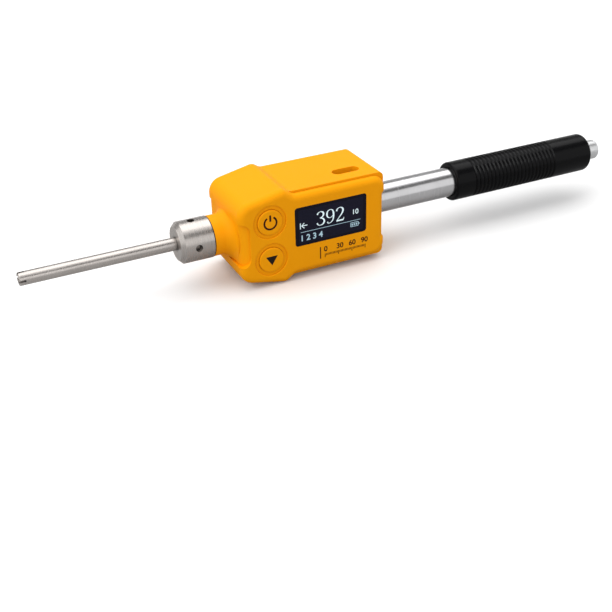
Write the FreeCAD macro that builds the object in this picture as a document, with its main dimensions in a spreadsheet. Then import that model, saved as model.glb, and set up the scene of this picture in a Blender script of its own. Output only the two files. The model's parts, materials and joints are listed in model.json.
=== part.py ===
import FreeCAD, Part
import math
import os
import Sketcher

# Rebound hardness tester with a long slim probe tube.
# The tester's axis is X, from the probe tip at x = 0 to the release button. The display faces -Y
# and Z is up. Sizes are in millimetres. The impact body is shown loaded, held by the catch chuck.

DIMENSIONS = {
    # Probe tube and collar
    "nose_length": 50.0,
    "nose_od": 4.3,
    "nose_bore": 3.1,
    "nose_seat": 0.3,
    "nose_flange": 1.6,
    "tip_slot_width": 0.7,
    "tip_slot_depth": 2.1,
    "tip_chamfer": 0.3,
    "collar_length": 11.0,
    "collar_shoulder": 1.5,
    "collar_wall": 2.8,
    "collar_chamfer": 1.3,
    "spigot_length": 9.2,
    "spigot_wall": 1.7,
    "key_hole": 2.4,
    "key_hole_depth": 1.8,
    "key_hole_setback": 5.6,
    "seal_thickness": 0.4,
    "seal_step": 0.35,
    # Guide tube, coil and barrel
    "guide_bore": 5.6,
    "guide_wall": 0.9,
    "guide_length": 85.4,
    "coil_length": 10.0,
    "coil_flange": 0.9,
    "coil_wall": 0.6,
    "coil_depth": 1.1,
    "barrel_space": 0.8,
    "barrel_wall": 0.675,
    "barrel_overlap": 15.7,
    "holder_setback": 23.2,
    "holder_wall": 4.0,
    "holder_depth": 8.0,
    "holder_rim": 1.125,
    "rib_thickness": 2.5,
    "rib_width": 10.0,
    "tube_seal": 2.0,
    "tube_seal_rim": 1.325,
    "seat_thickness": 1.6,
    # Impact body and catch
    "stroke": 30.0,
    "impact_stop": 1.6,
    "ball_od": 2.78,
    "ball_seat": 0.75,
    "needle_od": 2.4,
    "impact_length": 22.0,
    "magnet_od": 4.2,
    "magnet_length": 4.0,
    "magnet_setback": 3.0,
    "tail_od": 2.0,
    "tail_length": 2.2,
    "knob_od": 3.4,
    "knob_length": 1.8,
    "chuck_gap": 0.4,
    "chuck_lip": 1.4,
    "chuck_lip_bore": 2.5,
    "chuck_chamber": 3.4,
    "chuck_chamber_bore": 4.0,
    "chuck_tail": 2.8,
    "chuck_spigot": 2.0,
    "jaw_slit": 0.5,
    "chuck_tube_wall": 0.7,
    "rod_od": 1.6,
    "rod_guide": 2.0,
    "impact_spring": 34.0,
    "impact_wire": 0.45,
    # Grip
    "grip_gap": 33.0,
    "grip_length": 51.8,
    "grip_wall": 1.625,
    "grip_front_round": 0.9,
    "groove_start": 8.0,
    "groove_span": 33.8,
    "groove_count": 22,
    "groove_depth": 0.45,
    "groove_width": 0.95,
    "bush_setback": 5.1,
    "bush_thickness": 3.6,
    "cap_length": 7.1,
    "cap_spigot": 1.5,
    "cap_wall": 0.675,
    "cap_lip": 2.0,
    "cap_round": 1.2,
    "loading_wire": 0.8,
    # Release button
    "button_reach": 6.15,
    "button_od": 7.16,
    "button_wall": 0.98,
    "button_flange": 2.2,
    "button_floor": 4.85,
    "button_round": 0.7,
    "release_travel": 2.0,
    "button_wire": 0.45,
    # Housing outline
    "neck_length": 5.5,
    "neck_wall": 1.3,
    "neck_flare": 3.4,
    "house_height": 28.1,
    "wall": 2.0,
    "roof": 2.6,
    "head_corner": 13.3,
    "head_crest": 15.8,
    "head_crest_height": 16.55,
    "head_foot": 19.45,
    "head_corner_radius": 5.0,
    "crest_radius": 2.6,
    "foot_radius": 3.2,
    "end_radius": 4.2,
    "front_rim_radius": 2.2,
    "back_rim_radius": 1.2,
    "ledge_setback": 2.2,
    "plate_rise": 0.77,
    "plate_end_radius": 1.8,
    "end_relief": 0.7,
    "end_relief_half": 7.4,
    "end_relief_slope": 1.1,
    "scoop_depth": 0.8,
    "scoop_height": 15.4,
    "scoop_front": 3.5,
    "scoop_front_depth": 0.5,
    "scoop_round": 4.5,
    "scoop_corner": 3.0,
    "scoop_step_in": 1.1,
    "scoop_step_deep": 2.0,
    # Rear half of the housing
    "part_gap": 1.2,
    "cover_thickness": 1.6,
    "cover_lip": 0.8,
    "cover_lip_wall": 1.0,
    "cover_gap": 0.1,
    "cover_boss_od": 3.0,
    "cover_boss_left": 8.8,
    "cover_boss_right": 6.7,
    "cover_boss_rise": 9.7,
    "cover_boss_length": 4.2,
    "cover_screw_od": 1.4,
    "cover_screw_head": 2.8,
    "cover_screw_bite": 3.4,
    # Display
    "window_start": 19.1,
    "window_width": 26.0,
    "window_end": 7.4,
    "window_height": 13.7,
    "window_rise": 2.68,
    "window_corner": 1.0,
    "lens_thickness": 1.15,
    "lens_recess": 0.08,
    "lens_margin": 1.1,
    "oled_thickness": 1.4,
    "panel_margin": 0.35,
    "panel_top": 0.85,
    "panel_bottom": 4.45,
    "frame_border": 1.6,
    "frame_depth": 1.1,
    # Circuit boards
    "board_start": 6.2,
    "board_margin": 2.0,
    "board_gap": 1.3,
    "board_end_gap": 0.8,
    "board_thickness": 1.0,
    "post_od": 2.8,
    "post_gap": 0.35,
    "post_rise": 8.6,
    "post_depth": 2.3,
    "board_screw_od": 1.4,
    "board_screw_head": 2.6,
    "board_screw_length": 3.4,
    "switch_width": 3.0,
    "switch_height": 1.1,
    "plunger_od": 1.8,
    # Buttons
    "key_place": 10.55,
    "key_rise": 6.6,
    "key_od": 8.6,
    "key_gap": 0.1,
    "key_proud": 0.15,
    "key_rim": 0.7,
    "key_flange": 0.5,
    "key_crown": 0.4,
    "key_travel": 0.5,
    "dish_rim": 1.3,
    "dish_depth": 0.45,
    "dish_round": 0.4,
    # Charging socket and battery
    "slot_inset": 10.5,
    "slot_gap": 0.4,
    "socket_rise": 3.2,
    "socket_width": 8.94,
    "socket_height": 3.2,
    "socket_length": 6.3,
    "socket_wall": 0.35,
    "socket_floor": 1.0,
    "tongue_width": 6.7,
    "tongue_thickness": 0.7,
    "tongue_length": 4.4,
    "usb_board_margin": 0.23,
    "usb_board_depth": 5.0,
    "battery_start": 14.5,
    "battery_length": 29.0,
    "battery_height": 17.0,
    "battery_thickness": 4.4,
    "battery_gap": 0.8,
    # Clearances
    "running_gap": 0.1,
    "fixed_gap": 0.03,
    "seat_gap": 0.2,
    "spring_gap": 0.3,
}


class Size:
    """A number together with the sheet expression that gives it."""

    def __init__(self, value, text):
        self.value = value
        self.text = text

    @staticmethod
    def of(other):
        return other if isinstance(other, Size) else Size(float(other), repr(other))

    def combine(self, other, sign, value):
        return Size(value, "(" + self.text + " " + sign + " " + other.text + ")")

    def __add__(self, other):
        other = Size.of(other)
        return self.combine(other, "+", self.value + other.value)

    def __sub__(self, other):
        other = Size.of(other)
        return self.combine(other, "-", self.value - other.value)

    def __mul__(self, other):
        other = Size.of(other)
        return self.combine(other, "*", self.value * other.value)

    def __truediv__(self, other):
        other = Size.of(other)
        return self.combine(other, "/", self.value / other.value)

    def __neg__(self):
        return Size(-self.value, "(-1 * " + self.text + ")")

    def root(self):
        return Size(math.sqrt(self.value), "sqrt(" + self.text + ")")


class Dimensions:
    """The driving dimensions, each as a Size of the sheet's cell."""

    def __init__(self, sheet, table):
        for row, (alias, number) in enumerate(table.items(), start=1):
            sheet.set("A%d" % row, alias)
            sheet.set("B%d" % row, str(number))
            sheet.setAlias("B%d" % row, alias)
            setattr(self, alias, Size(float(number), "Dims." + alias))


doc = FreeCAD.newDocument("hardness_tester")
sheet = doc.addObject("Spreadsheet::Sheet", "Dims")
d = Dimensions(sheet, DIMENSIONS)
doc.recompute()

ZERO = Size(0.0, "0")
WIRE_END_ROOM = 1.1
PARTS = []

# Diameters that follow from each other, from the guide tube outwards
guide_od = d.guide_bore + d.guide_wall * 2
nose_seat_od = d.nose_od + d.nose_seat * 2
nose_flange_od = guide_od - d.running_gap * 2
spigot_od = guide_od + d.spigot_wall * 2
collar_od = spigot_od + d.collar_shoulder * 2
neck_od = spigot_od + d.neck_wall * 2
barrel_bore = guide_od + d.barrel_space * 2
barrel_od = barrel_bore + d.barrel_wall * 2
holder_od = barrel_od + d.holder_rim * 2
tube_seal_od = barrel_od + d.tube_seal_rim * 2
grip_bore = barrel_od + d.running_gap * 2
grip_od = grip_bore + d.grip_wall * 2
cap_cavity = grip_bore - d.cap_wall * 2
button_flange_od = cap_cavity - d.seat_gap * 2
button_bore = d.button_od - d.button_wall * 2
chuck_tube_od = d.guide_bore - d.seat_gap * 2
chuck_tube_bore = chuck_tube_od - d.chuck_tube_wall * 2
loading_spring_od = barrel_bore - d.spring_gap * 2
impact_spring_od = chuck_tube_bore - d.spring_gap * 2
button_spring_od = button_bore - d.spring_gap * 2

# Places along the axis
x_collar = d.nose_length
x_seal = x_collar + d.collar_length
x_neck = x_seal + d.seal_thickness
x_house = x_neck + d.neck_length
x_window = x_house + d.window_start
x_window_end = x_window + d.window_width
x_end = x_window_end + d.window_end
x_wall = x_end - d.end_relief - d.wall
x_scoop = x_house + d.scoop_depth
x_inner = x_scoop + d.wall
x_flange = x_collar + d.collar_wall
x_guide = x_flange + d.nose_flange
x_guide_end = x_guide + d.guide_length
x_spring = x_guide_end + d.seat_thickness
x_holder = x_house + d.holder_setback
x_barrel = x_holder + d.holder_wall
x_grip = x_end + d.grip_gap
x_barrel_end = x_grip + d.barrel_overlap
x_cap = x_grip + d.grip_length
x_bush = x_cap - d.bush_setback
x_bush_end = x_bush + d.bush_thickness
x_cap_end = x_cap + d.cap_length
x_button_end = x_cap_end + d.button_reach
x_button_flange = x_cap_end - d.cap_lip - d.seat_gap - d.button_flange
x_button_floor = x_button_end - d.button_floor
x_impact = d.stroke + x_guide + d.impact_stop
x_tail = x_impact + d.impact_length
x_knob = x_tail + d.tail_length
x_knob_end = x_knob + d.knob_length
x_chuck = x_tail + d.chuck_gap
x_chamber = x_chuck + d.chuck_lip
x_chamber_end = x_chamber + d.chuck_chamber
x_spigot = x_chamber_end + d.chuck_tail - d.chuck_spigot
x_chuck_end = x_chamber_end + d.chuck_tail
x_rod_guide = x_chuck_end + d.impact_spring

# Places across the housing, stacked outwards from the tube holder on the axis
y_board_back = -(holder_od / 2 + d.board_gap)
y_board = y_board_back - d.board_thickness
y_frame = y_board - d.frame_depth
y_panel = y_frame - d.oled_thickness
y_inner = y_panel - d.seat_gap
y_front = y_inner - d.wall
y_ledge = y_front + d.ledge_setback
y_scoop = y_front + d.scoop_front_depth + d.scoop_round
y_socket = y_board_back + d.socket_rise
y_battery = holder_od / 2 + d.battery_gap
y_cover = y_battery + d.battery_thickness + d.seat_gap
y_back = y_cover + d.cover_thickness
y_part = holder_od / 2 + d.part_gap
y_lip = y_part - d.cover_lip
z_top = d.house_height / 2
z_plate = z_top + d.plate_rise
z_inner = z_plate - d.roof
z_window = d.window_rise
z_board = z_inner - d.board_margin


def bind(item, name, size):
    """Ties a property of an object to the sheet."""
    item.setExpression(name, Size.of(size).text)


def keep(item, label):
    """Notes a finished piece under the name of its file."""
    item.Label = label
    PARTS.append(item)
    return item


def new_body(label):
    body = doc.addObject("PartDesign::Body", label)
    return keep(body, label)


def plane(body, role):
    return [item for item in body.Origin.OriginFeatures if item.Role == role][0]


def sketch_on(body, name, role, offset=ZERO):
    """An empty sketch on one of the body's own planes, moved along the plane's normal."""
    sketch = body.newObject("Sketcher::SketchObject", name)
    sketch.AttachmentSupport = (plane(body, role), [""])
    sketch.MapMode = "FlatFace"
    bind(sketch, "AttachmentOffset.Base.z", offset)
    return sketch


def constrain(sketch, kind, geometry, point, size):
    """Sets a point's distance from the sketch's origin, tied to the sheet."""
    number = sketch.addConstraint(
        Sketcher.Constraint(kind, -1, 1, geometry, point, size.value))
    sketch.setExpression("Constraints[%d]" % number, size.text)


def angle_from(centre, point):
    return math.atan2(point.y - centre.y, point.x - centre.x)


def add_outline(sketch, points):
    """Adds a closed outline through (u, v) pairs of sizes.

    A point with a third entry, (centre u, centre v, radius), starts an arc that runs
    anticlockwise to the next point.
    """
    first = sketch.GeometryCount
    corners = [FreeCAD.Vector(Size.of(p[0]).value, Size.of(p[1]).value, 0) for p in points]
    for index, point in enumerate(points):
        start = corners[index]
        end = corners[(index + 1) % len(points)]
        if len(point) == 2:
            sketch.addGeometry(Part.LineSegment(start, end))
        else:
            u, v, radius = point[2]
            centre = FreeCAD.Vector(u.value, v.value, 0)
            circle = Part.Circle(centre, FreeCAD.Vector(0, 0, 1), radius.value)
            arc = sketch.addGeometry(Part.ArcOfCircle(
                circle, angle_from(centre, start), angle_from(centre, end)))
            if abs(end.x - start.x) > abs(end.y - start.y):
                constrain(sketch, "DistanceY", arc, 3, v)
            else:
                constrain(sketch, "DistanceX", arc, 3, u)
    for index, point in enumerate(points):
        line = first + index
        following = first + (index + 1) % len(points)
        sketch.addConstraint(Sketcher.Constraint("Coincident", line, 2, following, 1))
        constrain(sketch, "DistanceX", line, 1, Size.of(point[0]))
        constrain(sketch, "DistanceY", line, 1, Size.of(point[1]))


def add_circle(sketch, u, v, diameter):
    """Adds a circle tied to the sheet by its centre and diameter."""
    centre = FreeCAD.Vector(u.value, v.value, 0)
    circle = sketch.addGeometry(Part.Circle(centre, FreeCAD.Vector(0, 0, 1), diameter.value / 2))
    constrain(sketch, "DistanceX", circle, 3, u)
    constrain(sketch, "DistanceY", circle, 3, v)
    number = sketch.addConstraint(Sketcher.Constraint("Diameter", circle, diameter.value))
    sketch.setExpression("Constraints[%d]" % number, diameter.text)


def rectangle(u0, u1, v0, v1):
    return [(u0, v0), (u1, v0), (u1, v1), (u0, v1)]


def rounded(u0, u1, v0, v1, radius):
    """A rectangle with round corners, as points and arcs."""
    left, right, low, high = u0 + radius, u1 - radius, v0 + radius, v1 - radius
    return [(left, v0), (right, v0, (right, low, radius)), (u1, low),
            (u1, high, (right, high, radius)), (right, v1), (left, v1, (left, high, radius)),
            (u0, high), (u0, low, (left, low, radius))]


def settle(item):
    """Works out a new feature and stops at once if it failed."""
    doc.recompute()
    if "Invalid" in item.State or not item.Shape.isValid():
        raise RuntimeError(item.Label + " failed")
    return item


def feature(body, kind, name, sketch, **settings):
    """Adds a sketch based feature and makes it the body's tip."""
    item = body.newObject("PartDesign::" + kind, name)
    item.Profile = sketch
    for key, value in settings.items():
        setattr(item, key, value)
    return item


def volume(body):
    return 0.0 if body.Shape.isNull() else body.Shape.Volume


def removed(item, before):
    """Makes sure that a pocket or groove has taken material away."""
    if not item.Shape.Volume < before - 1e-6:
        raise RuntimeError(item.Label + " cuts nothing")
    return item


def turn(body, name, points, kind="Revolution"):
    """Revolves an outline of (x, radius) points round the tester's axis."""
    before = volume(body)
    sketch = sketch_on(body, name + "_outline", "XZ_Plane")
    add_outline(sketch, points)
    item = settle(feature(body, kind, name, sketch, ReferenceAxis=(sketch, ["H_Axis"])))
    return removed(item, before) if kind == "Groove" else item


def extrude(body, name, sketch, length, reverse=False, kind="Pad", both=False):
    """Pads or pockets a sketch along its normal, or against it, or both ways."""
    before = volume(body)
    item = feature(body, kind, name, sketch, Reversed=reverse)
    if both:
        item.SideType = "Symmetric"
    bind(item, "Length", length)
    settle(item)
    return removed(item, before) if kind == "Pocket" else item


def repeat_round(body, name, cutout, copies):
    """Repeats a cut evenly round the tester's axis."""
    before = volume(body)
    pattern = body.newObject("PartDesign::PolarPattern", name)
    pattern.Originals = [cutout]
    pattern.Axis = (plane(body, "X_Axis"), [""])
    pattern.Angle = 360
    pattern.Occurrences = copies
    body.Tip = pattern
    return removed(settle(pattern), before)


def repeat_along(body, name, cutout, span, copies):
    """Repeats a cut evenly along the tester's axis."""
    before = volume(body)
    pattern = body.newObject("PartDesign::LinearPattern", name)
    pattern.Originals = [cutout]
    pattern.Direction = (plane(body, "X_Axis"), [""])
    bind(pattern, "Length", span)
    bind(pattern, "Occurrences", copies)
    body.Tip = pattern
    return removed(settle(pattern), before)


def turned_part(label, points):
    body = new_body(label)
    turn(body, label + "_turned", points)
    return body


def round_edges(body, name, radius, wanted, kind="Fillet"):
    """Rounds or chamfers the edges that the test picks from the body's last shape."""
    base = body.Tip
    edges = base.Shape.Edges
    names = ["Edge%d" % (index + 1) for index, edge in enumerate(edges) if wanted(edge)]
    if not names:
        raise RuntimeError("no edges found for " + name)
    item = body.newObject("PartDesign::" + kind, name)
    item.Base = (base, names)
    bind(item, "Size" if kind == "Chamfer" else "Radius", radius)
    return settle(item)


def near(one, other, tolerance=1e-3):
    return abs(one - other) < tolerance


def is_circle(edge):
    return not edge.Degenerated and isinstance(edge.Curve, Part.Circle)


def ring_at(x, radius):
    """Picks the circles round the axis at one place."""
    def wanted(edge):
        if not is_circle(edge):
            return False
        return near(edge.Curve.Center.x, x.value) and near(edge.Curve.Radius, radius.value)
    return wanted


def bar(name, x0, x1, diameter):
    """A round bar along X."""
    item = doc.addObject("Part::Cylinder", name)
    bind(item, "Radius", diameter / 2)
    bind(item, "Height", x1 - x0)
    item.Placement.Rotation = FreeCAD.Rotation(FreeCAD.Vector(0, 1, 0), 90)
    bind(item, "Placement.Base.x", x0)
    return item


def block(name, x0, x1, y0, y1, z0, z1):
    """A box between three pairs of places."""
    item = doc.addObject("Part::Box", name)
    for side, low, high in (("Length", x0, x1), ("Width", y0, y1), ("Height", z0, z1)):
        bind(item, side, high - low)
    for axis, low in (("x", x0), ("y", y0), ("z", z0)):
        bind(item, "Placement.Base." + axis, low)
    return item


def cut(name, base, tool):
    item = doc.addObject("Part::Cut", name)
    item.Base = base
    item.Tool = tool
    return item


def join(name, items):
    item = doc.addObject("Part::MultiFuse", name)
    item.Shapes = items
    return item


def coil_spring(label, x0, x1, outer, wire, turns, sides=6, steps=12):
    """A round coil spring between two seats, swept along the chords of its helix."""
    radius = (outer.value - wire.value) / 2
    half = wire.value / 2
    end_room = half * WIRE_END_ROOM
    start = x0.value + end_room
    rise = (x1.value - x0.value - 2 * end_room) / (steps * turns)
    step = 2 * math.pi / steps
    route = [FreeCAD.Vector(start + rise * index, radius * math.cos(step * index),
                            radius * math.sin(step * index))
             for index in range(steps * turns + 1)]
    along = (route[1] - route[0]).normalize()
    side = along.cross(FreeCAD.Vector(0, 1, 0)).normalize()
    up = side.cross(along)
    corners = [route[0] + up * (half * math.cos(2 * math.pi * index / sides))
               + side * (half * math.sin(2 * math.pi * index / sides))
               for index in range(sides + 1)]
    path = Part.makePolygon(route)
    spring = doc.addObject("Part::Feature", label)
    spring.Shape = path.makePipeShell([Part.makePolygon(corners)], True, True, 1)
    return keep(spring, label)


def make_probe_tube():
    """Slim tube with a seat and flange that the collar traps, and small slots at its tip."""
    body = new_body("nose_tube")
    turn(body, "tube", [
        (ZERO, d.nose_bore / 2), (ZERO, d.nose_od / 2), (x_collar, d.nose_od / 2),
        (x_collar, nose_seat_od / 2), (x_flange, nose_seat_od / 2),
        (x_flange, nose_flange_od / 2), (x_guide, nose_flange_od / 2),
        (x_guide, d.nose_bore / 2)])
    round_edges(body, "tip_edge", d.tip_chamfer, ring_at(ZERO, d.nose_od / 2), "Chamfer")
    for name, role in (("slot_level", "XY_Plane"), ("slot_upright", "XZ_Plane")):
        sketch = sketch_on(body, name + "_outline", role)
        add_outline(sketch, rectangle(-d.tip_slot_depth, d.tip_slot_depth,
                                      -d.tip_slot_width / 2, d.tip_slot_width / 2))
        extrude(body, name, sketch, d.nose_od * 2, kind="Pocket", both=True)


def make_collar():
    """Steel collar with a spigot into the neck and four blind key holes round it."""
    bore = guide_od / 2 + d.fixed_gap
    front_bore = nose_seat_od / 2 + d.fixed_gap
    body = new_body("front_collar")
    turn(body, "collar", [
        (x_collar, front_bore), (x_collar, collar_od / 2),
        (x_seal, collar_od / 2), (x_seal, spigot_od / 2),
        (x_seal + d.spigot_length, spigot_od / 2), (x_seal + d.spigot_length, bore),
        (x_flange, bore), (x_flange, front_bore)])
    round_edges(body, "collar_front", d.collar_chamfer,
                ring_at(x_collar, collar_od / 2), "Chamfer")
    sketch = sketch_on(body, "key_hole_outline", "XY_Plane", collar_od / 2 - d.key_hole_depth)
    add_circle(sketch, x_collar + d.key_hole_setback, ZERO, d.key_hole)
    hole = extrude(body, "key_hole_bore", sketch, d.key_hole_depth * 2, reverse=True,
                   kind="Pocket")
    repeat_round(body, "key_holes", hole, 4)
    turned_part("collar_seal", [
        (x_seal, spigot_od / 2 + d.fixed_gap), (x_seal, collar_od / 2 - d.seal_step),
        (x_neck, collar_od / 2 - d.seal_step), (x_neck, spigot_od / 2 + d.fixed_gap)])


def make_guide_tube():
    """Tube that the impact body runs in, with the sensing coil round its front end."""
    turned_part("guide_tube", [
        (x_guide, d.guide_bore / 2), (x_guide, guide_od / 2),
        (x_guide_end, guide_od / 2), (x_guide_end, d.guide_bore / 2)])
    start = x_seal + d.spigot_length + d.seat_gap
    end = start + d.coil_length
    bore = guide_od / 2 + d.fixed_gap
    core = bore + d.coil_wall
    rim = core + d.coil_depth + d.seat_gap
    turned_part("coil_bobbin", [
        (start, bore), (start, rim), (start + d.coil_flange, rim),
        (start + d.coil_flange, core), (end - d.coil_flange, core), (end - d.coil_flange, rim),
        (end, rim), (end, bore)])
    turned_part("coil_winding", [
        (start + d.coil_flange, core), (start + d.coil_flange, core + d.coil_depth),
        (end - d.coil_flange, core + d.coil_depth), (end - d.coil_flange, core)])


def make_barrel():
    """Steel barrel, the holder that carries it in the housing, its seal and its inner seat."""
    outer = barrel_od / 2
    inner = barrel_bore / 2
    turned_part("barrel_tube", [
        (x_barrel, inner), (x_barrel, outer), (x_barrel_end, outer), (x_barrel_end, inner)])
    holder_end = x_barrel + d.holder_depth
    turned_part("tube_holder", [
        (x_holder, guide_od / 2 + d.fixed_gap), (x_holder, holder_od / 2),
        (holder_end, holder_od / 2), (holder_end, outer + d.fixed_gap),
        (x_barrel, outer + d.fixed_gap), (x_barrel, guide_od / 2 + d.fixed_gap)])
    turned_part("tube_seal", [
        (x_wall - d.tube_seal, outer + d.fixed_gap), (x_wall - d.tube_seal, tube_seal_od / 2),
        (x_wall, tube_seal_od / 2), (x_wall, outer + d.fixed_gap)])
    turned_part("spring_seat", [
        (x_guide_end, d.guide_bore / 2), (x_guide_end, inner - d.fixed_gap),
        (x_spring, inner - d.fixed_gap), (x_spring, d.guide_bore / 2)])


def make_impact_body():
    """Impact body with its long needle, carbide ball, magnet and the knob that the chuck holds."""
    needle = d.needle_od / 2
    main = d.guide_bore / 2 - d.running_gap
    magnet = d.magnet_od / 2
    x_ball = d.stroke + d.ball_od / 2
    x_magnet = x_impact + d.magnet_setback
    x_magnet_end = x_magnet + d.magnet_length
    wall = d.magnet_od / 2 + d.fixed_gap
    body = new_body("impact_body")
    turn(body, "impact_turned", [
        (x_ball + d.ball_seat, ZERO), (x_ball + d.ball_seat, needle), (x_impact, needle),
        (x_impact, main), (x_tail, main), (x_tail, d.tail_od / 2), (x_knob, d.tail_od / 2),
        (x_knob, d.knob_od / 2), (x_knob_end, d.knob_od / 2), (x_knob_end, ZERO)])
    radius = d.ball_od / 2
    turn(body, "ball_cup", [(x_ball + radius, ZERO, (x_ball, ZERO, radius)),
                            (x_ball - radius, ZERO)], "Groove")
    turn(body, "magnet_chamber", [
        (x_magnet - d.fixed_gap, ZERO), (x_magnet - d.fixed_gap, wall),
        (x_magnet_end + d.fixed_gap, wall), (x_magnet_end + d.fixed_gap, ZERO)], "Groove")
    turned_part("body_magnet", [
        (x_magnet, ZERO), (x_magnet, magnet), (x_magnet_end, magnet), (x_magnet_end, ZERO)])
    ball = doc.addObject("Part::Sphere", "impact_ball")
    bind(ball, "Radius", d.ball_od / 2)
    bind(ball, "Placement.Base.x", x_ball)
    keep(ball, "impact_ball")


def make_catch():
    """Chuck with three jaws on the end of its tube, with the impact spring and release rod."""
    main = d.guide_bore / 2 - d.running_gap
    rod_bore = d.rod_od / 2 + d.running_gap
    spigot = chuck_tube_bore / 2 - d.fixed_gap
    body = new_body("catch_chuck")
    turn(body, "chuck_turned", [
        (x_chuck, d.chuck_lip_bore / 2), (x_chuck, main), (x_spigot, main), (x_spigot, spigot),
        (x_chuck_end, spigot), (x_chuck_end, rod_bore), (x_chamber_end, rod_bore),
        (x_chamber_end, d.chuck_chamber_bore / 2), (x_chamber, d.chuck_chamber_bore / 2),
        (x_chamber, d.chuck_lip_bore / 2)])
    sketch = sketch_on(body, "slit_outline", "XZ_Plane")
    add_outline(sketch, rectangle(x_chuck - d.chuck_gap, x_chamber_end,
                                  -d.jaw_slit / 2, d.jaw_slit / 2))
    slit = extrude(body, "jaw_slit", sketch, d.guide_bore, kind="Pocket")
    repeat_round(body, "jaw_slits", slit, 3)
    turned_part("chuck_tube", [
        (x_spigot, chuck_tube_bore / 2), (x_spigot, chuck_tube_od / 2),
        (x_bush_end, chuck_tube_od / 2), (x_bush_end, chuck_tube_bore / 2)])
    turned_part("rod_guide", [
        (x_rod_guide, rod_bore), (x_rod_guide, spigot),
        (x_rod_guide + d.rod_guide, spigot), (x_rod_guide + d.rod_guide, rod_bore)])
    coil_spring("impact_spring", x_chuck_end, x_rod_guide, impact_spring_od, d.impact_wire, 10)
    x_rod = x_knob_end + d.release_travel + d.running_gap
    rod = bar("release_rod", x_rod, x_button_floor, d.rod_od)
    keep(rod, "release_rod")


def make_grip():
    """Black loading grip: grooved sleeve, bush that carries the chuck tube, and end cap."""
    outer = grip_od / 2
    bore = grip_bore / 2
    body = new_body("grip_sleeve")
    turn(body, "sleeve", [(x_grip, bore), (x_grip, outer), (x_cap, outer), (x_cap, bore)])
    round_edges(body, "sleeve_front", d.grip_front_round, ring_at(x_grip, outer))
    x_groove = x_grip + d.groove_start
    groove = turn(body, "grip_groove", [
        (x_groove - d.groove_width / 2, outer), (x_groove, outer - d.groove_depth),
        (x_groove + d.groove_width / 2, outer), (x_groove, outer + d.groove_depth)], "Groove")
    repeat_along(body, "grip_grooves", groove, d.groove_span, d.groove_count)
    turned_part("rear_bush", [
        (x_bush, chuck_tube_od / 2 + d.fixed_gap), (x_bush, bore - d.fixed_gap),
        (x_bush_end, bore - d.fixed_gap), (x_bush_end, chuck_tube_od / 2 + d.fixed_gap)])
    coil_spring("loading_spring", x_spring, x_bush, loading_spring_od, d.loading_wire, 10)
    lip = x_cap_end - d.cap_lip
    hole = d.button_od / 2 + d.running_gap
    cap = new_body("grip_end_cap")
    turn(cap, "cap", [
        (x_cap - d.cap_spigot, cap_cavity / 2), (x_cap - d.cap_spigot, bore - d.fixed_gap),
        (x_cap, bore - d.fixed_gap), (x_cap, outer), (x_cap_end, outer), (x_cap_end, hole),
        (lip, hole), (lip, cap_cavity / 2)])
    round_edges(cap, "cap_edge", d.cap_round, ring_at(x_cap_end, outer))


def make_release_button():
    """Hollow steel button with a flange inside the cap, its return spring in its bore."""
    stem = d.button_od / 2
    flange = button_flange_od / 2
    body = new_body("release_button")
    turn(body, "button", [
        (x_button_flange, button_bore / 2), (x_button_flange, flange),
        (x_button_flange + d.button_flange, flange), (x_button_flange + d.button_flange, stem),
        (x_button_end, stem), (x_button_end, ZERO), (x_button_floor, ZERO),
        (x_button_floor, button_bore / 2)])
    round_edges(body, "button_edge", d.button_round, ring_at(x_button_end, stem))
    coil_spring("button_spring", x_bush_end, x_button_floor, button_spring_od, d.button_wire, 5)


def end_points(top):
    """Right hand end of an outline: upper corner, shallow relief and lower corner."""
    half = d.end_relief_half + d.end_relief_slope
    relief = x_end - d.end_relief
    upper = [(x_end, top), (x_end, half), (relief, d.end_relief_half)]
    return upper + [(x, -z) for x, z in reversed(upper)]


def house_outline():
    """The housing's side outline, alike above and below the axis."""
    head = [(x_house, d.head_corner), (x_house + d.head_crest, d.head_crest_height),
            (x_house + d.head_foot, z_top)]
    return head + end_points(z_top) + [(x, -z) for x, z in reversed(head)]


def plate_outline():
    """The raised plates on the top and bottom, which run up the crest's slope in a soft curve."""
    run = d.head_foot - d.head_crest
    fall = d.head_crest_height - z_top
    slope = (run * run + fall * fall).root()
    reach = d.foot_radius * (slope - run) / fall
    foot = x_house + d.head_crest + run * (d.head_crest_height - z_plate) / fall
    x_rise = foot - reach * run / slope
    z_rise = z_plate + reach * fall / slope
    x_flat = foot + reach
    radius = d.foot_radius
    ends = end_points(z_plate)
    return ([(x_rise, z_rise, (x_flat, z_plate + radius, radius)), (x_flat, z_plate)] + ends
            + [(x_flat, -z_plate, (x_flat, -(z_plate + radius), radius)), (x_rise, -z_rise)])


def edge_along_y(x, z):
    """Picks the edges along Y at one place of the outline, above and below the axis."""
    def wanted(edge):
        ends = [vertex.Point for vertex in edge.Vertexes]
        return len(ends) == 2 and not near(ends[0].y, ends[1].y) and all(
            near(end.x, x.value) and near(abs(end.z), z.value) for end in ends)
    return wanted


def rim_at(y):
    """Picks the rim of the face at one depth."""
    def wanted(edge):
        return all(near(vertex.Point.y, y.value) for vertex in edge.Vertexes)
    return wanted


def circle_at(y, radius):
    """Picks the circles that face the front or the back, at one depth."""
    def wanted(edge):
        if not is_circle(edge):
            return False
        centre = edge.Curve.Center
        return near(centre.y, y.value) and near(edge.Curve.Radius, radius.value)
    return wanted


def boss_places():
    """Places of the four screws that hold the housing's halves together."""
    return [(x, z) for x in (x_house + d.cover_boss_left, x_end - d.cover_boss_right)
            for z in (d.cover_boss_rise, -d.cover_boss_rise)]


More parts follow.
